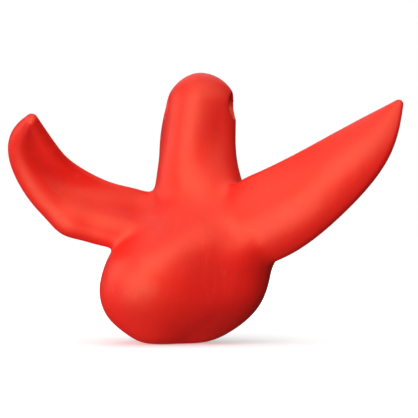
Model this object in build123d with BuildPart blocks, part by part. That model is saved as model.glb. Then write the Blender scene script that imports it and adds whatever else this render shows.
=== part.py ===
"""Ball-bodied grapnel anchor: a one-piece iron casting inside a dipped soft-vinyl coat.

The anchor stands on the flat foot of its ball. The origin is the point on the floor under the
shank, +Z runs up the shank, and +X runs along the rope eye. All sizes are in millimetres.
"""

import os
from math import hypot, sqrt

from build123d import *

os.makedirs("parts", exist_ok=True)

# ---------------------------------------------------------------- driving sizes
# Dipped coat
coat = 2.5

# Ball, over the coat: round sections that stand to one side of the shank towards the foot.
# Every station is (height, share of the ball's radius, centre along X, centre along Y).
ball_radius = 59.5
ball_stations = [
    (0.0, 0.350, -18.0, 0.0),
    (6.0, 0.605, -14.5, -1.0),
    (17.0, 0.825, -13.0, -3.0),
    (34.0, 0.975, -11.0, -6.0),
    (51.0, 1.000, -7.0, -7.0),
    (66.0, 0.940, -3.0, -5.0),
    (82.0, 0.790, 0.0, -1.0),
    (98.0, 0.540, 0.0, 0.0),
]

# Shank, over the coat: a flared skirt that sinks into the ball, a taper, and a domed crown
skirt_height = 62.0
skirt_radius = 43.0
skirt_sag = 4.0
collar_height = 112.0
collar_radius = 29.5
shank_top = 189.5
crown_radius = 24.5
crown_height = shank_top - crown_radius

# Rope eye, across the shank
eye_radius = 8.0
eye_depth = 23.5
eye_height = shank_top - eye_depth

# Flukes: each is a curved blade between an upper and a lower edge that meet at the tip.
# Every point is (out from the shank, sideways, up) for a fluke that points along +X.
# A fluke's droop turns it down about the height of its root.
fluke_turns = [-30.0, 90.0, 212.0]
fluke_droops = [0.0, 0.0, 2.0]
root_height = 85.0
fluke_tip = Vector(148, 24, 167)
upper_edge = [Vector(17, -12, 98), Vector(72, -7, 120), Vector(90, -50, 124), fluke_tip]
lower_edge = [Vector(17, 33, 55), Vector(37, -3, 55), Vector(150, -34, 74), fluke_tip]
root_half = 13.0
end_half = 12.0
edge_round = 5.0
stations = [0.0, 0.2, 0.4, 0.6, 0.8, 0.9]
tip_station = 0.96


def curve_point(edge, share):
    """Point of a four-point curve at a share of its run, from 0 at the root to 1 at the tip."""
    rest = 1 - share
    return (
        edge[0] * rest**3
        + edge[1] * (3 * share * rest**2)
        + edge[2] * (3 * share**2 * rest)
        + edge[3] * share**3
    )


def curve_heading(edge, share):
    """Direction of a four-point curve at a share of its run."""
    rest = 1 - share
    return (
        (edge[1] - edge[0]) * rest**2
        + (edge[2] - edge[1]) * (2 * share * rest)
        + (edge[3] - edge[2]) * share**2
    )


def ball_section(place, inset):
    """Circle sketch of the ball at one station, moved inward by an inset."""
    below = ball_stations[max(place - 1, 0)]
    here = ball_stations[place]
    above = ball_stations[min(place + 1, len(ball_stations) - 1)]
    run = (above[1] - below[1]) * ball_radius
    rise = above[0] - below[0]
    slope_length = hypot(run, rise)
    height = here[0] + inset * run / slope_length
    radius = here[1] * ball_radius - inset * rise / slope_length
    if place == 0:
        height = inset
    with BuildSketch(Plane((here[2], here[3], height))) as section:
        Circle(radius)
    return section.sketch.face()


def make_fluke(inset):
    """One fluke along +X, thinned all round by an inset."""
    sections = []
    for share in stations:
        upper = curve_point(upper_edge, share)
        lower = curve_point(lower_edge, share)
        chord = upper - lower
        heading = curve_heading(upper_edge, share) + curve_heading(lower_edge, share)
        face = heading.cross(chord)
        half_chord = chord.length / 2 + edge_round * sqrt(1 - share**2)
        half_thickness = (root_half + (end_half - root_half) * share) * sqrt(1 - share**4)
        with BuildSketch(Plane((upper + lower) / 2, chord, face.cross(chord))) as section:
            Ellipse(half_chord - inset, half_thickness - inset)
        sections.append(section.sketch.face())
    tip_share = 1 if inset == 0 else tip_station
    tip = (curve_point(upper_edge, tip_share) + curve_point(lower_edge, tip_share)) / 2
    with BuildPart() as fluke:
        loft(sections=[*sections, Vertex(*tip)])
    return fluke.part


def make_body(inset, bore_radius):
    """Ball, shank and flukes as one solid, thinned all round by an inset, with the rope eye."""
    skirt = (skirt_radius - inset, skirt_height + inset)
    collar = (collar_radius - inset, collar_height)
    crown = (crown_radius - inset, crown_height)
    with BuildPart() as ball:
        loft(sections=[ball_section(place, inset) for place in range(len(ball_stations))])
    with BuildPart() as shank:
        with BuildSketch(Plane.XZ):
            with BuildLine():
                Line((0, skirt[1]), skirt)
                SagittaArc(skirt, collar, skirt_sag)
                Line(collar, crown)
                CenterArc((0, crown_height), crown[0], 0, 90)
                Line((0, crown_height + crown[0]), (0, skirt[1]))
            make_face()
        revolve(axis=Axis.Z)
    blade = make_fluke(inset)
    with BuildPart() as body:
        add(ball.part)
        add(shank.part)
        for turn, droop in zip(fluke_turns, fluke_droops):
            aim = Location((0, 0, root_height), (0, 0, turn)) * Location((0, 0, 0), (0, droop, 0))
            with Locations(aim * Location((0, 0, -root_height))):
                add(blade)
        with BuildSketch(Plane.YZ):
            with Locations((0, eye_height)):
                Circle(bore_radius)
        extrude(amount=2 * crown_radius, both=True, mode=Mode.SUBTRACT)
    return body.part


outer = make_body(0, eye_radius)
core = make_body(coat, eye_radius + coat)

core.label = "cast_iron_core"
export_step(core, "parts/cast_iron_core.step")

with BuildPart() as vinyl_coat:
    add(outer)
    add(core, mode=Mode.SUBTRACT, clean=False)
vinyl_coat.part.label = "vinyl_coat"
export_step(vinyl_coat.part, "parts/vinyl_coat.step")
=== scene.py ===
"""Looks of a ball-bodied grapnel anchor: a dipped soft-vinyl coat over a one-piece iron casting.

The CAD model gives the frame, the size and the collision. The skin that shows is worked out here as
one flowing surface, because a dipped coat runs over ball, shank and flukes without a seam: each form
has a signed depth (negative inside), the depths are blended where forms meet, and the surface is the
set of points at depth zero. Lengths are in millimetres inside the shape classes and in metres in
Blender. The origin is the foot under the shank, +Z runs up the shank and +X along the rope eye.

The tables in anchor_barrel, full_blade and short_blade were worked out by a fitting program and then
edited in places. They were not set by hand from the start.
"""

import logging
import math
from dataclasses import dataclass, field
from enum import Enum

import bpy
import numpy as np
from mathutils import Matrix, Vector


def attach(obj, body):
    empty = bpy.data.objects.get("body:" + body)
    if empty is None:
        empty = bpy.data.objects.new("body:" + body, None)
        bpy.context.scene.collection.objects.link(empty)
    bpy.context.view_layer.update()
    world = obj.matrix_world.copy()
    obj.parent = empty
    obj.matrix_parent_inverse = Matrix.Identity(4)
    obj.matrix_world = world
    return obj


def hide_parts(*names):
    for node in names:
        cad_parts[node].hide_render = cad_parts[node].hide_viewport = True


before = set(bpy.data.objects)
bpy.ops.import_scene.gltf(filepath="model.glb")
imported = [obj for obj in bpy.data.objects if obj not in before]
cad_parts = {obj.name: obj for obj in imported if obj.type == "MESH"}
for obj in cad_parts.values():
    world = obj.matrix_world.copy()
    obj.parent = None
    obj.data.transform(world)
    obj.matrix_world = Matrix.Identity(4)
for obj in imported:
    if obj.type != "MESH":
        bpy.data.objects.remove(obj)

LOG = logging.getLogger("grapnel_anchor")
MM = 0.001

Array = np.ndarray


# ------------------------------------------------------------------------------------------- maths
def soft_least(first: Array, second: Array, reach: Array | float) -> Array:
    """Blend two depths as a fillet does: the lesser, less a cubic swell where they are within reach.

    Args:
        first: Depths of one form.
        second: Depths of the other form at the same points.
        reach: How far apart two depths may be and still blend, in millimetres.

    Returns:
        Depths of the union, equal to the lesser one wherever they differ by more than reach.
    """
    near = np.maximum(reach - np.abs(first - second), 0.0) / reach
    return np.minimum(first, second) - near**3 * (reach / 6.0)


def soft_most(first: Array, second: Array, reach: float) -> Array:
    """Round the edge of an intersection: the mirror image of soft_least.

    Args:
        first: Depths of one form.
        second: Depths of the other form at the same points.
        reach: How far apart two depths may be and still blend, in millimetres.

    Returns:
        Depths of the space inside both forms, with the edge between them rounded.
    """
    return -soft_least(-first, -second, reach)


def natural_spline(knots: Array, values: Array, at: Array) -> Array:
    """Follow the natural cubic spline through a few points.

    The second derivatives solve the usual three-band system with zeros at both ends, and each span
    is the cubic that has them.

    Args:
        knots: Rising positions of the points.
        values: Rows of values, one row for each position.
        at: Positions that are wanted.

    Returns:
        Rows of values at those positions.
    """
    gaps = np.diff(knots)
    count = len(knots)
    bands = np.eye(count)
    inner = np.arange(1, count - 1)
    bands[inner, inner - 1] = gaps[:-1]
    bands[inner, inner] = 2.0 * (gaps[:-1] + gaps[1:])
    bands[inner, inner + 1] = gaps[1:]
    right = np.zeros_like(values)
    right[1:-1] = 6.0 * np.diff(np.diff(values, axis=0) / gaps[:, None], axis=0)
    bend = np.linalg.solve(bands, right)
    span = np.clip(np.searchsorted(knots, at, side="right") - 1, 0, count - 2)
    gap = gaps[span][:, None]
    ahead = (knots[span + 1] - at)[:, None] / gap
    behind = 1.0 - ahead
    sag = (ahead**3 - ahead) * bend[span] + (behind**3 - behind) * bend[span + 1]
    return ahead * values[span] + behind * values[span + 1] + sag * gap**2 / 6.0


@dataclass
class Table:
    """Rows of values at even steps, read between the steps in a straight line.

    Attributes:
        start: Position of the first row.
        step: Distance from one row to the next.
        rows: The values.
    """

    start: float
    step: float
    rows: Array

    def read(self, at: Array) -> Array:
        """Read rows in a straight line between their neighbours, and the end row past an end.

        Args:
            at: Positions that are wanted.

        Returns:
            One row for each position.
        """
        place = np.clip((at - self.start) / self.step, 0.0, len(self.rows) - 1.001)
        below = place.astype(int)
        share = (place - below)[:, None]
        return self.rows[below] * (1.0 - share) + self.rows[below + 1] * share


# ------------------------------------------------------------------------------------------- forms
@dataclass
class Barrel:
    """The ball and the shank: one upright form, round in plan but for three soft ridges.

    Attributes:
        stations: Rows of height, radius, sideways offset along X and along Y, and the cosine and sine
            shares of the three ridges, up the form.
        crown_height: Height at which the shank's dome begins.
        crown_rise: Height that the dome would have if the shank under it didn't taper on.
        crown_power: Roundness of the dome: 2 is an ellipse, and more is fuller.
        foot_round: Size of the rounding at the edge of the flat foot.
    """

    stations: tuple[tuple[float, ...], ...]
    crown_height: float
    crown_rise: float
    crown_power: float
    foot_round: float

    def __post_init__(self) -> None:
        """Tabulate the stations' spline over height, with the slope of the radius beside it."""
        given = np.array(self.stations)
        heights = np.arange(given[0, 0], given[-1, 0], 0.1)
        rows = natural_spline(given[:, 0], given[:, 1:], heights)
        slope = np.gradient(rows[:, 0], heights)
        self.table = Table(heights[0], 0.1, np.concatenate([rows, slope[:, None]], 1))

    def depth(self, points: Array) -> Array:
        """Measure points against the form.

        The radius at a height and bearing is the spline's, times one plus a ridge that goes as the
        cosine and sine of three times the bearing. The depth is the distance from the offset axis
        less that radius, over the root of one plus the slope squared. Above the crown height the
        distance takes in the height, as an ellipse's does, and the foot is cut flat with a rounded
        edge.

        Args:
            points: Rows of x, y, z.

        Returns:
            Signed depth of each point, negative inside.
        """
        height = points[:, 2]
        radius, middle_x, middle_y, ridge_cos, ridge_sin, slope = self.table.read(height).T
        x, y = points[:, 0] - middle_x, points[:, 1] - middle_y
        flat = np.maximum(np.hypot(x, y), 1e-6)
        c, s = x / flat, y / flat
        swell = 1.0 + ridge_cos * (4.0 * c**3 - 3.0 * c) + ridge_sin * (3.0 * s - 4.0 * s**3)
        top = self.table.read(np.array([self.crown_height]))[0, 0]
        over = np.maximum(height - self.crown_height, 0.0) * (top / self.crown_rise)
        power = self.crown_power
        distance = ((flat / swell) ** power + over**power) ** (1.0 / power)
        return soft_most((distance - radius) / np.sqrt(1.0 + slope**2), -height, self.foot_round)


MIDDLE, HALF, BOW = slice(0, 3), slice(3, 6), slice(6, 9)
MIDDLE_RATE, HALF_RATE, BOW_RATE = slice(9, 12), slice(12, 15), slice(15, 18)
UPPER_RIM, LOWER_RIM, BELLY = 18, 19, 20


@dataclass
class Blade:
    """One fluke: a swept, pointed blade between an upper and a lower edge that meet at the tip.

    Attributes:
        turn: Bearing that the blade is turned to, in degrees from +X towards +Y.
        upper: Points that the upper edge runs through, from root to tip: out, sideways and up, for a
            blade that points along +X.
        lower: Points that the lower edge runs through, less the tip, which both edges share.
        upper_rim: Half thickness along the upper edge, at even shares of the run.
        lower_rim: Half thickness along the lower edge.
        belly: Half thickness along the middle.
        cup: How far the middle is bowed out of the plane of the edges.
    """

    turn: float
    upper: tuple[tuple[float, float, float], ...]
    lower: tuple[tuple[float, float, float], ...]
    upper_rim: tuple[float, ...]
    lower_rim: tuple[float, ...]
    belly: tuple[float, ...]
    cup: tuple[float, ...]

    def __post_init__(self) -> None:
        """Tabulate middle line, half chord, bow and thickness along the run, in the anchor's frame."""
        angle = math.radians(self.turn)
        spin = np.array(
            [
                [math.cos(angle), -math.sin(angle), 0.0],
                [math.sin(angle), math.cos(angle), 0.0],
                [0.0, 0.0, 1.0],
            ]
        )
        top = np.array(self.upper) @ spin.T
        low = np.array(self.lower + (self.upper[-1],)) @ spin.T
        share = np.linspace(0.0, 1.0, 401)
        knots = np.linspace(0.0, 1.0, len(top))
        top, low = natural_spline(knots, top, share), natural_spline(knots, low, share)
        middle, half = (top + low) / 2.0, (top - low) / 2.0
        bands = np.array([self.upper_rim, self.lower_rim, self.belly, self.cup]).T
        bands = natural_spline(np.linspace(0.0, 1.0, len(bands)), bands, share)
        normal = np.cross(np.gradient(middle, axis=0), half)
        normal /= np.maximum(np.linalg.norm(normal, axis=1, keepdims=True), 1e-6)
        bow = bands[:, 3:] * normal
        lines = np.concatenate([middle, half, bow], 1)
        rates = np.gradient(lines, share, axis=0)
        self.low, self.high = np.minimum(top, low).min(0), np.maximum(top, low).max(0)
        self.table = Table(0.0, share[1], np.concatenate([lines, rates, bands[:, :3]], 1))
        along, across = np.meshgrid(np.linspace(0.0, 1.0, 41), np.linspace(-1.0, 1.0, 13))
        self.grid_along, self.grid_across = along.ravel(), across.ravel()
        self.grid = self.sheet(self.table.read(self.grid_along), self.grid_across)

    def sheet(self, row: Array, across: Array) -> Array:
        """Points of the blade's middle sheet, which is ruled between the two edges and then bowed.

        Args:
            row: Rows of the table at the wanted shares of the run.
            across: Place between the lower edge at -1 and the upper edge at +1.

        Returns:
            Rows of x, y, z: the middle line, plus across times the half chord, plus the bow times
            one less across squared.
        """
        side = across[:, None]
        return row[:, MIDDLE] + side * row[:, HALF] + (1.0 - side**2) * row[:, BOW]

    def thickness(self, row: Array, across: Array) -> Array:
        """Half thickness: an eased mean of the two rims, plus a belly of (1 - across squared) squared.

        Args:
            row: Rows of the table at the wanted shares of the run.
            across: Place between the lower edge at -1 and the upper edge at +1.

        Returns:
            Half thickness at each place.
        """
        upper, lower, belly = row[:, UPPER_RIM], row[:, LOWER_RIM], row[:, BELLY]
        share = (1.0 + across) / 2.0
        rim = lower + (upper - lower) * share * share * (3.0 - 2.0 * share)
        return rim + (belly - (upper + lower) / 2.0) * (1.0 - across**2) ** 2

    def nearest(self, points: Array, rounds: int = 7) -> tuple[Array, Array]:
        """Find the place on the sheet that is nearest to each point.

        A coarse grid of the sheet gives the start. Each round then takes the least-squares step in
        both parameters, held to the sheet, where it brings the place nearer, and shortens it elsewhere.

        Args:
            points: Rows of x, y, z.
            rounds: How many steps to take.

        Returns:
            Rows of the table at the nearest share of the run, and the place across.
        """
        start = np.empty(len(points), int)
        squares = (self.grid**2).sum(1)
        for first in range(0, len(points), 20000):
            part = points[first : first + 20000]
            start[first : first + 20000] = np.argmin(squares - 2.0 * part @ self.grid.T, axis=1)
        along, across = self.grid_along[start], self.grid_across[start]
        row = self.table.read(along)
        gap = points - self.sheet(row, across)
        best = (gap**2).sum(1)
        pace = np.ones(len(points))
        for _ in range(rounds):
            side = across[:, None]
            run = row[:, MIDDLE_RATE] + side * row[:, HALF_RATE] + (1.0 - side**2) * row[:, BOW_RATE]
            rise = row[:, HALF] - 2.0 * side * row[:, BOW]
            aa = (run**2).sum(1) + 1.0
            bb = (rise**2).sum(1) + 1.0
            ab = (run * rise).sum(1)
            ga = (gap * run).sum(1)
            gb = (gap * rise).sum(1)
            sideways = pace * (gb * aa - ga * ab) / (aa * bb - ab * ab)
            new_across = np.clip(across + sideways, -1.0, 1.0)
            forward = pace * (ga - ab * (new_across - across)) / aa
            new_along = np.clip(along + np.clip(forward, -0.05, 0.05), 0.0, 1.0)
            new_row = self.table.read(new_along)
            new_gap = points - self.sheet(new_row, new_across)
            new_best = (new_gap**2).sum(1)
            nearer = new_best < best
            along, across = np.where(nearer, new_along, along), np.where(nearer, new_across, across)
            best = np.where(nearer, new_best, best)
            row = np.where(nearer[:, None], new_row, row)
            gap = np.where(nearer[:, None], new_gap, gap)
            pace = np.where(nearer, np.minimum(pace * 1.5, 1.0), pace * 0.4)
        return row, across

    def depth(self, points: Array) -> Array:
        """Measure points: the distance to the sheet less the half thickness at that place.

        Args:
            points: Rows of x, y, z.

        Returns:
            Signed depth of each point, negative inside.
        """
        row, across = self.nearest(points)
        gap = points - self.sheet(row, across)
        return np.sqrt((gap**2).sum(1)) - self.thickness(row, across)


@dataclass
class RopeEye:
    """The hole across the top of the shank, with rounded lips.

    Attributes:
        radius: Radius of the hole, inside the coat.
        height: Height of its axis above the foot.
        lip: Size of the rounding at its two mouths.
    """

    radius: float = 8.0
    height: float = 166.0
    lip: float = 4.0

    def cut(self, points: Array, depth: Array) -> Array:
        """Take the hole out of a form and round its lips.

        Args:
            points: Rows of x, y, z.
            depth: Depths of the form at those points.

        Returns:
            Depths of the form without the hole.
        """
        hole = np.hypot(points[:, 1], points[:, 2] - self.height) - self.radius
        return soft_most(depth, -hole, self.lip)


@dataclass
class Knob:
    """A rounded corner that stands out of the form: a ball that is blended in.

    Attributes:
        spot: Middle of the ball.
        radius: Radius of the ball.
        blend: Reach of its blend.
    """

    spot: tuple[float, float, float]
    radius: float
    blend: float

    def join(self, points: Array, whole: Array) -> Array:
        """Blend the ball in: its depth is the distance to its middle less its radius.

        Args:
            points: Rows of x, y, z.
            whole: Depths of the form at those points.

        Returns:
            Depths of the form with the ball.
        """
        ball = np.linalg.norm(points - np.array(self.spot), axis=1) - self.radius
        return soft_least(whole, ball, self.blend)


@dataclass
class AnchorShape:
    """The whole anchor as one depth field.

    Attributes:
        barrel: Ball and shank.
        blades: The three flukes.
        eye: Rope eye.
        knobs: Corners that stand out a little.
        fillet: Reach of the blend where a fluke leaves the body, above the creases.
        crease: Reach of the blend under the flukes' roots.
        crease_span: Heights between which the crease widens to the full fillet.
        reach: Distance from a blade's box beyond which its depth isn't worked out.
    """

    barrel: Barrel
    blades: list[Blade]
    eye: RopeEye
    knobs: list[Knob]
    fillet: float = 16.0
    crease: float = 4.0
    crease_span: tuple[float, float] = (58.0, 84.0)
    reach: float = 30.0

    def depth(self, points: Array) -> Array:
        """Measure points against the blended form.

        The blend's reach rises with height by the cubic step 3s^2 - 2s^3.

        Args:
            points: Rows of x, y, z.

        Returns:
            Signed depth of each point, negative inside the coat's outer skin.
        """
        whole = self.barrel.depth(points)
        low, high = self.crease_span
        share = np.clip((points[:, 2] - low) / (high - low), 0.0, 1.0)
        fillet = self.crease + (self.fillet - self.crease) * share**2 * (3.0 - 2.0 * share)
        for blade in self.blades:
            close = np.all((points > blade.low - self.reach) & (points < blade.high + self.reach), axis=1)
            part = np.full(len(points), 1e3)
            part[close] = blade.depth(points[close])
            whole = soft_least(whole, part, fillet)
        for knob in self.knobs:
            whole = knob.join(points, whole)
        return self.eye.cut(points, whole)

    def slope(self, points: Array, step: float = 0.15) -> Array:
        """Gradient of the depth by central differences, one axis after another.

        Args:
            points: Rows of x, y, z.
            step: Half the distance between the two depths of a difference.

        Returns:
            Rows of the three slopes.
        """
        shifts = np.eye(3) * step
        return np.stack(
            [(self.depth(points + s) - self.depth(points - s)) / (2.0 * step) for s in shifts], axis=1
        )


# ----------------------------------------------------------------------------------------- meshing
@dataclass
class SkinMesher:
    """Turns a depth field into a closed mesh of quads.

    Attributes:
        shape: The field.
        low: Lowest corner of the space that is searched.
        high: Highest corner of it.
        spacing: Size of a cell.
        smoothing: Rounds of evening out before the points are put back on the surface.
    """

    shape: AnchorShape
    low: tuple[float, float, float]
    high: tuple[float, float, float]
    spacing: float
    smoothing: int = 3

    def sample(self, level: float) -> tuple[Array, Array]:
        """Sample depth less level on the grid, exactly near the surface and roughly far from it.

        Args:
            level: Depth of the wanted surface.

        Returns:
            The grid of values, and the grid's origin.
        """
        coarse = 4
        low = np.array(self.low)
        counts = np.ceil((np.array(self.high) - low) / (self.spacing * coarse)).astype(int) + 1
        axes = [low[i] + np.arange(counts[i]) * self.spacing * coarse for i in range(3)]
        rough = self.shape.depth(np.stack(np.meshgrid(*axes, indexing="ij"), -1).reshape(-1, 3))
        rough = rough.reshape(counts) - level
        fine = rough.repeat(coarse, 0).repeat(coarse, 1).repeat(coarse, 2)
        half = (coarse - 1) / 2.0 * self.spacing
        near = np.argwhere(np.abs(fine) < self.spacing * coarse * 1.35)
        origin = low - half
        for first in range(0, len(near), 400000):
            part = near[first : first + 400000]
            values = self.shape.depth(origin + part * self.spacing) - level
            fine[part[:, 0], part[:, 1], part[:, 2]] = values
        return fine, origin

    def skin(self, level: float = 0.0) -> tuple[Array, Array]:
        """Mesh the surface at a depth.

        Each grid cell with both signs among its corners gets one point, the mean of the crossings on
        its edges, and each grid edge that crosses the surface gets a quad of the four cells round it.
        The points are evened out along the surface and slid back to it down the field's gradient.

        Args:
            level: Depth of the wanted surface, 0 for the outer skin.

        Returns:
            Points in millimetres, and quads as rows of four point numbers.
        """
        values, origin = self.sample(level)
        inside = values < 0.0
        cells = tuple(n - 1 for n in values.shape)
        corners = np.array([[i >> 2 & 1, i >> 1 & 1, i & 1] for i in range(8)])
        total = np.zeros(cells, np.int8)
        for a, b, c in corners:
            total += inside[a : a + cells[0], b : b + cells[1], c : c + cells[2]]
        active = np.argwhere((total > 0) & (total < 8))
        number = np.full(cells, -1, np.int32)
        number[active[:, 0], active[:, 1], active[:, 2]] = np.arange(len(active))
        summed = np.zeros((len(active), 3))
        hits = np.zeros(len(active))
        for one in range(8):
            for bit in (4, 2, 1):
                if one & bit:
                    continue
                start, end = corners[one], corners[one | bit]
                at, to = active + start, active + end
                v0 = values[at[:, 0], at[:, 1], at[:, 2]]
                v1 = values[to[:, 0], to[:, 1], to[:, 2]]
                cross = (v0 < 0.0) != (v1 < 0.0)
                share = np.where(cross, v0 / np.where(cross, v0 - v1, 1.0), 0.0)
                summed += cross[:, None] * (at + share[:, None] * (end - start))
                hits += cross
        points = origin + summed / hits[:, None] * self.spacing
        quads = np.concatenate([self._quads(inside, number, axis) for axis in range(3)])
        return self._settle(points, quads, level), quads

    def _quads(self, inside: Array, number: Array, axis: int) -> Array:
        """Join the cells round each grid edge along one axis that crosses the surface.

        Args:
            inside: Whether each grid corner is inside.
            number: Number of each cell's point, or -1.
            axis: The axis.

        Returns:
            Quads, wound to face outward.
        """
        rolled = np.moveaxis(inside, axis, 0)
        cells = np.moveaxis(number, axis, 0)
        cross = np.argwhere(rolled[:-1, 1:-1, 1:-1] != rolled[1:, 1:-1, 1:-1])
        i, j, k = cross[:, 0], cross[:, 1] + 1, cross[:, 2] + 1
        ring = np.stack([cells[i, j - 1, k - 1], cells[i, j, k - 1], cells[i, j, k], cells[i, j - 1, k]], 1)
        outward = rolled[i, j, k]
        if axis == 1:
            outward = ~outward
        return np.where(outward[:, None], ring, ring[:, ::-1])

    def _settle(self, points: Array, quads: Array, level: float) -> Array:
        """Even out the points, each towards the mean of its neighbours, and put them back on the surface.

        Args:
            points: Rows of x, y, z.
            quads: Rows of four point numbers.
            level: Depth of the wanted surface.

        Returns:
            The moved points.
        """
        pairs = np.concatenate([quads[:, [a, (a + 1) % 4]] for a in range(4)])
        both = np.concatenate([pairs, pairs[:, ::-1]])
        count = np.bincount(both[:, 0], minlength=len(points))[:, None]
        for _ in range(self.smoothing):
            mean = np.stack(
                [np.bincount(both[:, 0], points[both[:, 1], c], len(points)) for c in range(3)], 1
            )
            points = points + 0.5 * (mean / count - points)
            points = self._project(points, level)
        return self._project(points, level)

    def _project(self, points: Array, level: float) -> Array:
        """Slide points along the gradient towards the level: one Newton step, of a cell at most.

        Args:
            points: Rows of x, y, z.
            level: Depth of the wanted surface.

        Returns:
            The moved points.
        """
        slope = self.shape.slope(points)
        size = np.maximum((slope**2).sum(1), 0.2)
        off = np.clip((self.shape.depth(points) - level) / size, -self.spacing, self.spacing)
        return points - off[:, None] * slope


def mesh_piece(name: str, points: Array, quads: Array) -> bpy.types.Object:
    """Put points in millimetres and quads into a smooth-shaded object at the origin.

    Args:
        name: Name of the piece.
        points: Rows of x, y, z in millimetres.
        quads: Rows of four point numbers.

    Returns:
        The object, linked to the scene.
    """
    mesh = bpy.data.meshes.new(name)
    mesh.vertices.add(len(points))
    mesh.vertices.foreach_set("co", (points * MM).astype(np.float32).ravel())
    mesh.loops.add(quads.size)
    mesh.loops.foreach_set("vertex_index", quads.astype(np.int32).ravel())
    mesh.polygons.add(len(quads))
    mesh.polygons.foreach_set("loop_start", np.arange(0, quads.size, 4, dtype=np.int32))
    mesh.polygons.foreach_set("use_smooth", np.ones(len(quads), bool))
    mesh.update(calc_edges=True)
    mesh.validate()
    piece = bpy.data.objects.new(name, mesh)
    bpy.context.scene.collection.objects.link(piece)
    return piece


# ---------------------------------------------------------------------------------------- finishes
class Slot(Enum):
    """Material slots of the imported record."""

    VINYL = "vinyl"
    IRON = "iron"


@dataclass
class NodeGroup:
    """Shader node group with named inputs and outputs, and short calls to fill it.

    Attributes:
        name: Name of the group.
        tree: The group itself.
        entry: Node that holds the group's inputs.
        exit: Node that holds the group's outputs.
    """

    name: str
    tree: bpy.types.ShaderNodeTree = field(init=False)
    entry: bpy.types.Node = field(init=False)
    exit: bpy.types.Node = field(init=False)

    def __post_init__(self) -> None:
        """Make the empty group with its two end nodes."""
        self.tree = bpy.data.node_groups.new(self.name, "ShaderNodeTree")
        self.entry = self.tree.nodes.new("NodeGroupInput")
        self.exit = self.tree.nodes.new("NodeGroupOutput")

    def inlet(self, name: str, kind: str) -> bpy.types.NodeSocket:
        """Add a named input.

        Args:
            name: Name of the input.
            kind: Type of socket, such as NodeSocketFloat.

        Returns:
            The socket to link from inside the group.
        """
        self.tree.interface.new_socket(name, in_out="INPUT", socket_type=kind)
        return self.entry.outputs[name]

    def outlet(self, name: str, kind: str, source: bpy.types.NodeSocket) -> None:
        """Add a named output.

        Args:
            name: Name of the output.
            kind: Type of socket.
            source: Socket inside the group that feeds it.
        """
        self.tree.interface.new_socket(name, in_out="OUTPUT", socket_type=kind)
        self.tree.links.new(source, self.exit.inputs[name])

    def add(self, kind: str, inputs: dict[str | int, object], **settings: object) -> bpy.types.Node:
        """Add a node.

        Args:
            kind: Node type.
            inputs: Value or source socket for each input, by name or number.
            settings: Node properties.

        Returns:
            The node.
        """
        node = self.tree.nodes.new(kind)
        for key, value in settings.items():
            setattr(node, key, value)
        for key, value in inputs.items():
            if isinstance(value, bpy.types.NodeSocket):
                self.tree.links.new(value, node.inputs[key])
            else:
                node.inputs[key].default_value = value
        return node

    def ramp(
        self, value: bpy.types.NodeSocket, low: float, high: float, start: float, end: float
    ) -> bpy.types.NodeSocket:
        """Map a value from one span to another, with soft ends.

        Args:
            value: Socket of the value.
            low: Value that gives start.
            high: Value that gives end.
            start: Result at low.
            end: Result at high.

        Returns:
            Socket of the result.
        """
        inputs = {"Value": value, "From Min": low, "From Max": high, "To Min": start, "To Max": end}
        return self.add("ShaderNodeMapRange", inputs, interpolation_type="SMOOTHSTEP").outputs["Result"]

    def sum(self, *terms: tuple[bpy.types.NodeSocket, float]) -> bpy.types.NodeSocket:
        """Add up sockets, each times a factor.

        Args:
            terms: Pairs of a socket and its factor.

        Returns:
            Socket of the sum.
        """
        total: bpy.types.NodeSocket | float = 0.0
        for socket, factor in terms:
            total = self.add(
                "ShaderNodeMath", {0: socket, 1: factor, 2: total}, operation="MULTIPLY_ADD"
            ).outputs["Value"]
        return total


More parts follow.
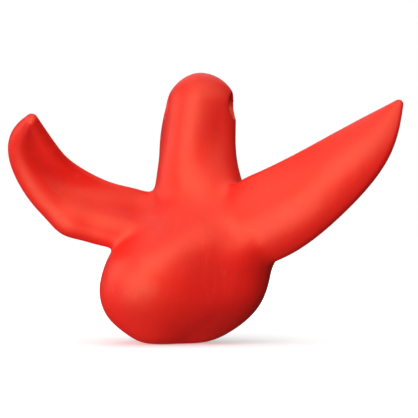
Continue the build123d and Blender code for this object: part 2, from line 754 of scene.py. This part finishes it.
def dipped_skin_group() -> bpy.types.ShaderNodeTree:
    """Skin of a dipped coat: cloudy colour, slow runs, fine grain, and patches of thin scratches.

    Returns:
        The group's tree.
    """
    group = NodeGroup("dipped_skin")
    place = group.inlet("Place", "NodeSocketVector")
    colour = group.inlet("Colour", "NodeSocketColor")
    deep = group.inlet("Deep Colour", "NodeSocketColor")
    rubbed = group.inlet("Rubbed Colour", "NodeSocketColor")
    roughness = group.inlet("Roughness", "NodeSocketFloat")
    wear = group.inlet("Wear", "NodeSocketFloat")
    clouds = group.add("ShaderNodeTexNoise", {"Vector": place, "Scale": 15.0, "Detail": 4.0}).outputs["Fac"]
    grain = group.add("ShaderNodeTexNoise", {"Vector": place, "Scale": 520.0, "Detail": 2.0}).outputs["Fac"]
    drawn = group.add("ShaderNodeMapping", {"Vector": place, "Scale": (46.0, 46.0, 9.0)}).outputs["Vector"]
    runs = group.add("ShaderNodeTexNoise", {"Vector": drawn, "Scale": 1.0, "Detail": 2.0}).outputs["Fac"]
    tilted = group.add(
        "ShaderNodeMapping", {"Vector": place, "Rotation": (0.3, 0.6, 0.9), "Scale": (150.0, 24.0, 24.0)}
    ).outputs["Vector"]
    strokes = group.add("ShaderNodeTexNoise", {"Vector": tilted, "Scale": 1.0, "Detail": 1.0}).outputs["Fac"]
    off_middle = group.add("ShaderNodeMath", {0: strokes, 1: 0.5}, operation="SUBTRACT").outputs["Value"]
    apart = group.add("ShaderNodeMath", {0: off_middle}, operation="ABSOLUTE").outputs["Value"]
    thin = group.ramp(apart, 0.0, 0.012, 1.0, 0.0)
    rubs = group.add("ShaderNodeTexNoise", {"Vector": place, "Scale": 23.0, "Detail": 1.0}).outputs["Fac"]
    patch = group.ramp(rubs, 0.56, 0.68, 0.0, 1.0)
    within = group.add("ShaderNodeMath", {0: thin, 1: patch}, operation="MULTIPLY").outputs["Value"]
    scratch = group.add("ShaderNodeMath", {0: within, 1: wear}, operation="MULTIPLY").outputs["Value"]
    shade = group.ramp(clouds, 0.40, 0.66, 0.0, 1.0)
    tone = group.add("ShaderNodeMix", {"Factor": shade, "A": colour, "B": deep}, data_type="RGBA")
    worn = group.add(
        "ShaderNodeMix", {"Factor": scratch, "A": tone.outputs["Result"], "B": rubbed}, data_type="RGBA"
    )
    group.outlet("Base Color", "NodeSocketColor", worn.outputs["Result"])
    uneven = group.sum((roughness, 1.0), (clouds, 0.10), (scratch, 0.15))
    group.outlet("Roughness", "NodeSocketFloat", uneven)
    group.outlet("Height", "NodeSocketFloat", group.sum((runs, 0.9), (grain, 0.08), (scratch, -0.12)))
    return group.tree


def sand_cast_group() -> bpy.types.ShaderNodeTree:
    """Skin of a sand casting: fine grain and darker pits.

    Returns:
        The group's tree.
    """
    group = NodeGroup("sand_cast")
    place = group.inlet("Place", "NodeSocketVector")
    colour = group.inlet("Colour", "NodeSocketColor")
    pit_colour = group.inlet("Pit Colour", "NodeSocketColor")
    sand = group.add("ShaderNodeTexNoise", {"Vector": place, "Scale": 900.0, "Detail": 3.0}).outputs["Fac"]
    lumps = group.add("ShaderNodeTexVoronoi", {"Vector": place, "Scale": 260.0}).outputs["Distance"]
    pits = group.ramp(lumps, 0.05, 0.35, 1.0, 0.0)
    tone = group.add("ShaderNodeMix", {"Factor": pits, "A": colour, "B": pit_colour}, data_type="RGBA")
    group.outlet("Base Color", "NodeSocketColor", tone.outputs["Result"])
    group.outlet("Height", "NodeSocketFloat", group.sum((sand, 0.6), (pits, -0.8)))
    return group.tree


def dress(
    name: str, tree: bpy.types.ShaderNodeTree, values: dict[str, object], depth: float
) -> bpy.types.Material:
    """Make a material that a node group feeds.

    Args:
        name: Name of the material.
        tree: Node group; its outputs are named after the shader's inputs, and Height goes to a bump.
        values: Values of the group's inputs.
        depth: Depth of the relief for a height of one, in metres.

    Returns:
        The material.
    """
    made = bpy.data.materials.new(name)
    made.use_nodes = True
    nodes, links = made.node_tree.nodes, made.node_tree.links
    shader = nodes["Principled BSDF"]
    skin = nodes.new("ShaderNodeGroup")
    skin.node_tree = tree
    place = nodes.new("ShaderNodeTexCoord")
    links.new(place.outputs["Object"], skin.inputs["Place"])
    for key, value in values.items():
        skin.inputs[key].default_value = value
    bump = nodes.new("ShaderNodeBump")
    bump.inputs["Distance"].default_value = depth
    for outlet in skin.outputs:
        target = bump.inputs["Height"] if outlet.name == "Height" else shader.inputs[outlet.name]
        links.new(outlet, target)
    links.new(bump.outputs["Normal"], shader.inputs["Normal"])
    return made


@dataclass(frozen=True)
class VinylFinish:
    """Soft dipped vinyl: matte red with a faint warm sheen, clouded and lightly rubbed.

    Attributes:
        colour: Red of the coat.
        deep: Red where the coat is thicker.
        rubbed: Paler red of a scratch.
        roughness: Roughness of the clean coat.
        sheen_level: Strength of the surface reflection.
        sheen_tint: Colour of the surface reflection.
        wear: Strength of the scratches.
        relief: Depth of the relief, in metres.
    """

    colour: tuple[float, float, float] = (0.84, 0.012, 0.009)
    deep: tuple[float, float, float] = (0.76, 0.008, 0.008)
    rubbed: tuple[float, float, float] = (0.86, 0.05, 0.04)
    roughness: float = 0.43
    sheen_level: float = 0.66
    sheen_tint: tuple[float, float, float] = (1.0, 1.0, 0.55)
    wear: float = 0.4
    relief: float = 0.0008

    def material(self) -> bpy.types.Material:
        """Build the vinyl material.

        Returns:
            The material.
        """
        values = {
            "Colour": (*self.colour, 1.0),
            "Deep Colour": (*self.deep, 1.0),
            "Rubbed Colour": (*self.rubbed, 1.0),
            "Roughness": self.roughness,
            "Wear": self.wear,
        }
        made = dress("dipped_vinyl", dipped_skin_group(), values, self.relief)
        shader = made.node_tree.nodes["Principled BSDF"]
        shader.inputs["Specular IOR Level"].default_value = self.sheen_level
        shader.inputs["Specular Tint"].default_value = (*self.sheen_tint, 1.0)
        return made


@dataclass(frozen=True)
class IronFinish:
    """Raw grey casting, sealed under the coat.

    Attributes:
        colour: Grey of the iron.
        pits: Darker grey of its pits.
        roughness: Roughness of the iron.
        metallic: Share of metal in the surface, less than one for its oxide.
        relief: Depth of the relief, in metres.
    """

    colour: tuple[float, float, float] = (0.09, 0.09, 0.095)
    pits: tuple[float, float, float] = (0.03, 0.028, 0.027)
    roughness: float = 0.7
    metallic: float = 0.8
    relief: float = 0.0004

    def material(self) -> bpy.types.Material:
        """Build the iron material.

        Returns:
            The material.
        """
        values = {"Colour": (*self.colour, 1.0), "Pit Colour": (*self.pits, 1.0)}
        made = dress("raw_iron", sand_cast_group(), values, self.relief)
        shader = made.node_tree.nodes["Principled BSDF"]
        shader.inputs["Roughness"].default_value = self.roughness
        shader.inputs["Metallic"].default_value = self.metallic
        return made


# --------------------------------------------------------------------------------------- the anchor
def anchor_barrel() -> Barrel:
    """The ball, which stands off to one side under the flukes, and the domed shank.

    Returns:
        The form. Its stations come from a fitting program; the last one and the crown are given one by one.
    """
    return Barrel(
        stations=(
            (0.0, 23.3, -19.6, -0.1, 0.201, 0.027),
            (12.0, 42.2, -18.4, 0.6, 0.124, -0.005),
            (28.0, 54.8, -16.1, -6.2, 0.095, -0.025),
            (45.0, 58.6, -15.3, -10.3, 0.118, 0.006),
            (62.0, 57.6, -8.4, -11.0, 0.145, -0.040),
            (78.0, 57.9, 5.9, -0.4, 0.116, -0.074),
            (95.0, 40.1, 3.7, 0.3, 0.056, 0.010),
            (115.0, 29.8, 0.1, -1.1, 0.030, -0.018),
            (140.0, 26.2, -2.0, -1.5, 0.092, 0.046),
            (167.0, 24.4, 0.6, 1.7, 0.073, 0.030),
            (192.0, 20.2, 2.2, 0.8, 0.064, 0.012),
        ),
        crown_height=168.7,
        crown_rise=24.1,
        crown_power=1.88,
        foot_round=8.3,
    )


def full_blade(turn: float) -> Blade:
    """The long, sharp fluke.

    Args:
        turn: Bearing in degrees.

    Returns:
        The form. Its numbers come from a fitting program, and a few are edited.
    """
    return Blade(
        turn=turn,
        upper=(
            (22.7, -5.4, 89.1),
            (40.2, -9.5, 107.0),
            (60.9, -12.6, 117.4),
            (91.1, -10.7, 132.5),
            (113.4, 1.8, 146.6),
            (145.0, 22.3, 165.3),
        ),
        lower=(
            (20.7, 23.8, 56.9),
            (33.3, 0.7, 64.9),
            (60.5, 1.5, 74.5),
            (98.6, -3.1, 92.2),
            (137.0, 3.8, 127.5),
        ),
        upper_rim=(7.1, 4.3, 2.2, 3.2),
        lower_rim=(12.0, 16.1, 9.9, 3.2),
        belly=(14.1, 9.7, 5.5, 3.2),
        cup=(-0.0, 10.5, 10.0, 0.0),
    )


def short_blade(turn: float) -> Blade:
    """The fluke that came out shorter and blunter.

    Args:
        turn: Bearing in degrees.

    Returns:
        The form. Its numbers come from a fitting program, and several are edited.
    """
    return Blade(
        turn=turn,
        upper=(
            (22.8, -6.7, 91.7),
            (43.7, -7.2, 103.2),
            (66.9, -8.3, 109.6),
            (95.9, -5.3, 121.6),
            (117.7, 7.6, 134.2),
            (143.7, 29.4, 153.0),
        ),
        lower=(
            (20.3, 38.1, 61.3),
            (34.2, 10.1, 69.2),
            (61.6, 3.8, 78.5),
            (97.6, -11.0, 93.4),
            (131.9, -6.4, 130.7),
        ),
        upper_rim=(6.4, 3.6, 4.3, 4.4),
        lower_rim=(13.5, 12.4, 12.8, 4.4),
        belly=(14.8, 8.2, 7.6, 4.4),
        cup=(0.1, 2.7, 2.4, 0.0),
    )


@dataclass
class Anchor:
    """The anchor's two pieces, both taken from one field.

    Attributes:
        coat: Thickness of the coat.
        spacing: Cell size of the outer skin.
        inner_spacing: Cell size of the hidden surface between coat and iron.
        space_low: Lowest corner of the space that holds the anchor.
        space_high: Highest corner of it.
        shape: The anchor's depth field.
    """

    coat: float = 2.5
    spacing: float = 1.5
    inner_spacing: float = 3.0
    space_low: tuple[float, float, float] = (-140.0, -110.0, -6.0)
    space_high: tuple[float, float, float] = (156.0, 164.0, 196.0)
    shape: AnchorShape = field(
        default_factory=lambda: AnchorShape(
            anchor_barrel(),
            [full_blade(-30.1), full_blade(89.9), short_blade(209.9)],
            RopeEye(),
            [Knob((-86.6, -38.5, 87.6), 10.0, 14.0)],
        )
    )

    def build(self) -> list[bpy.types.Object]:
        """Mesh and dress the coat and the casting.

        Returns:
            The coat and the casting.
        """
        low, high = self.space_low, self.space_high
        outer, outer_quads = SkinMesher(self.shape, low, high, self.spacing).skin()
        inner, inner_quads = SkinMesher(self.shape, low, high, self.inner_spacing).skin(-self.coat)
        points = np.concatenate([outer, inner])
        quads = np.concatenate([outer_quads, inner_quads[:, ::-1] + len(outer)])
        coat = mesh_piece("dipped_coat", points, quads)
        coat.data.materials.append(VinylFinish().material())
        core = mesh_piece("iron_casting", inner, inner_quads)
        core.data.materials.append(IronFinish().material())
        for piece, node, slot in (
            (coat, "vinyl_coat", Slot.VINYL),
            (core, "cast_iron_core", Slot.IRON),
        ):
            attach(piece, "root")
            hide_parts(node)
            mesh = piece.data
            LOG.info("%s: %d points, %d quads", piece.name, len(mesh.vertices), len(mesh.polygons))
        return [coat, core]


# ------------------------------------------------------------------------------------------- studio
@dataclass
class Studio:
    """Pale floor, soft light and the camera.

    Attributes:
        aim_height: Height on the shank's axis that the camera is aimed at, in metres.
        distance: Distance from there to the camera, in metres.
        elevation: Angle of the camera above the horizon, in degrees.
        lens: Focal length, in millimetres on a 36 mm sensor.
        shift: Sideways and upward shift of the frame.
        ambient: Strength of the light from all round.
        floor_radius: Radius of the floor, in millimetres.
        floor_sides: Number of sides of the floor's edge.
        floor_glow: Glow of the floor near the anchor; it rises to 1 further out.
        glow_span: Distances between which the glow rises, in metres.
        lamp_reach: Distance of the lamps from the anchor, in metres.
        lamp_size: Side of each square lamp, in metres.
        lamps: Name, bearing, rise and strength of each lamp, as lamp() takes them.
    """

    aim_height: float = 0.0826
    distance: float = 1.82
    elevation: float = 0.46
    lens: float = 224.0
    shift: tuple[float, float] = (0.0275, 0.0388)
    ambient: float = 0.02
    floor_radius: float = 6000.0
    floor_sides: int = 96
    floor_glow: float = 0.4
    glow_span: tuple[float, float] = (0.15, 0.75)
    lamp_reach: float = 2.2
    lamp_size: float = 2.4
    lamps: tuple[tuple[str, float, float, float], ...] = (
        ("key", -7.0, 20.0, 0.82),
        ("low_left", -38.0, -34.0, 0.86),
        ("side_left", -90.0, 12.0, 0.54),
        ("upper_right", 55.0, 45.0, 0.38),
        ("top", -30.0, 72.0, 0.34),
        ("back", 180.0, 40.0, 0.31),
    )

    def floor(self) -> bpy.types.Object:
        """Make the floor: a flat matte disc, pale to the camera and clear to every other ray.

        Its glow rises from floor_glow to 1 with the distance from the origin, so no horizon shows.

        Returns:
            The floor.
        """
        count = self.floor_sides
        turns = np.linspace(0.0, 2.0 * np.pi, count, endpoint=False)
        ring = np.stack([np.cos(turns), np.sin(turns), np.zeros(count)], 1) * self.floor_radius
        points = np.concatenate([np.zeros((1, 3)), ring])
        step = np.arange(count)
        wedges = np.stack([np.zeros(count, int), 1 + step, 1 + (step + 1) % count], 1)
        mesh = bpy.data.meshes.new("floor")
        mesh.from_pydata((points * MM).tolist(), [], wedges.tolist())
        piece = bpy.data.objects.new("floor", mesh)
        bpy.context.scene.collection.objects.link(piece)
        made = bpy.data.materials.new("pale_floor")
        made.use_nodes = True
        nodes, links = made.node_tree.nodes, made.node_tree.links
        shown = nodes["Principled BSDF"]
        shown.inputs["Base Color"].default_value = (0.9, 0.9, 0.9, 1.0)
        shown.inputs["Roughness"].default_value = 1.0
        shown.inputs["Specular IOR Level"].default_value = 0.0
        shown.inputs["Emission Color"].default_value = (1.0, 1.0, 1.0, 1.0)
        place = nodes.new("ShaderNodeTexCoord")
        reach = nodes.new("ShaderNodeVectorMath")
        reach.operation = "LENGTH"
        links.new(place.outputs["Object"], reach.inputs[0])
        glow = nodes.new("ShaderNodeMapRange")
        glow.interpolation_type = "SMOOTHSTEP"
        glow.inputs["From Min"].default_value, glow.inputs["From Max"].default_value = self.glow_span
        glow.inputs["To Min"].default_value = self.floor_glow
        glow.inputs["To Max"].default_value = 1.0
        links.new(reach.outputs["Value"], glow.inputs["Value"])
        links.new(glow.outputs["Result"], shown.inputs["Emission Strength"])
        path = nodes.new("ShaderNodeLightPath")
        clear = nodes.new("ShaderNodeBsdfTransparent")
        mix = nodes.new("ShaderNodeMixShader")
        links.new(path.outputs["Is Camera Ray"], mix.inputs["Fac"])
        links.new(clear.outputs["BSDF"], mix.inputs[1])
        links.new(shown.outputs["BSDF"], mix.inputs[2])
        links.new(mix.outputs["Shader"], nodes["Material Output"].inputs["Surface"])
        mesh.materials.append(made)
        return piece

    def lamp(self, name: str, bearing: float, rise: float, strength: float) -> None:
        """Hang one square soft light, aimed at the middle of the anchor.

        Args:
            name: Name of the light.
            bearing: Degrees to the right of the camera, seen from the anchor; left is negative.
            rise: Degrees above the horizon; a light below it shines up through the clear table.
            strength: Brightness that it gives a white surface that faces it.
        """
        data = bpy.data.lights.new(name, "AREA")
        data.size = self.lamp_size
        data.energy = strength * (math.pi * self.lamp_reach) ** 2
        lamp = bpy.data.objects.new(name, data)
        turn, tilt = math.radians(bearing), math.radians(rise)
        towards = Vector(
            (math.sin(turn) * math.cos(tilt), -math.cos(turn) * math.cos(tilt), math.sin(tilt))
        )
        lamp.location = Vector((0.0, 0.0, self.aim_height)) + towards * self.lamp_reach
        lamp.rotation_euler = towards.to_track_quat("Z", "Y").to_euler()
        bpy.context.scene.collection.objects.link(lamp)

    def build(self) -> None:
        """Set up world, lights, floor and camera. The world is white to the camera and dim to the rest."""
        world = bpy.data.worlds.new("studio")
        world.use_nodes = True
        nodes, links = world.node_tree.nodes, world.node_tree.links
        shown = nodes["Background"]
        shown.inputs["Color"].default_value = (1.0, 1.0, 1.0, 1.0)
        lit = nodes.new("ShaderNodeBackground")
        lit.inputs["Color"].default_value = (1.0, 1.0, 1.0, 1.0)
        lit.inputs["Strength"].default_value = self.ambient
        path = nodes.new("ShaderNodeLightPath")
        mix = nodes.new("ShaderNodeMixShader")
        links.new(path.outputs["Is Camera Ray"], mix.inputs["Fac"])
        links.new(lit.outputs["Background"], mix.inputs[1])
        links.new(shown.outputs["Background"], mix.inputs[2])
        links.new(mix.outputs["Shader"], nodes["World Output"].inputs["Surface"])
        bpy.context.scene.world = world
        bpy.context.scene.view_settings.view_transform = "Standard"
        self.floor()
        for name, bearing, rise, strength in self.lamps:
            self.lamp(name, bearing, rise, strength)
        data = bpy.data.cameras.new("camera")
        data.lens = self.lens
        data.sensor_width = 36.0
        data.shift_x, data.shift_y = self.shift
        data.clip_end = 50.0
        camera = bpy.data.objects.new("camera", data)
        tilt = math.radians(self.elevation)
        back = Vector((0.0, -math.cos(tilt), math.sin(tilt)))
        camera.location = Vector((0.0, 0.0, self.aim_height)) + back * self.distance
        camera.rotation_euler = back.to_track_quat("Z", "Y").to_euler()
        bpy.context.scene.collection.objects.link(camera)
        bpy.context.scene.camera = camera


def main() -> None:
    """Build the anchor and the studio."""
    logging.basicConfig(level=logging.INFO, format="%(name)s: %(message)s")
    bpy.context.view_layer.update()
    Anchor().build()
    Studio().build()
    bpy.context.view_layer.update()


if __name__ == "__main__":
    main()
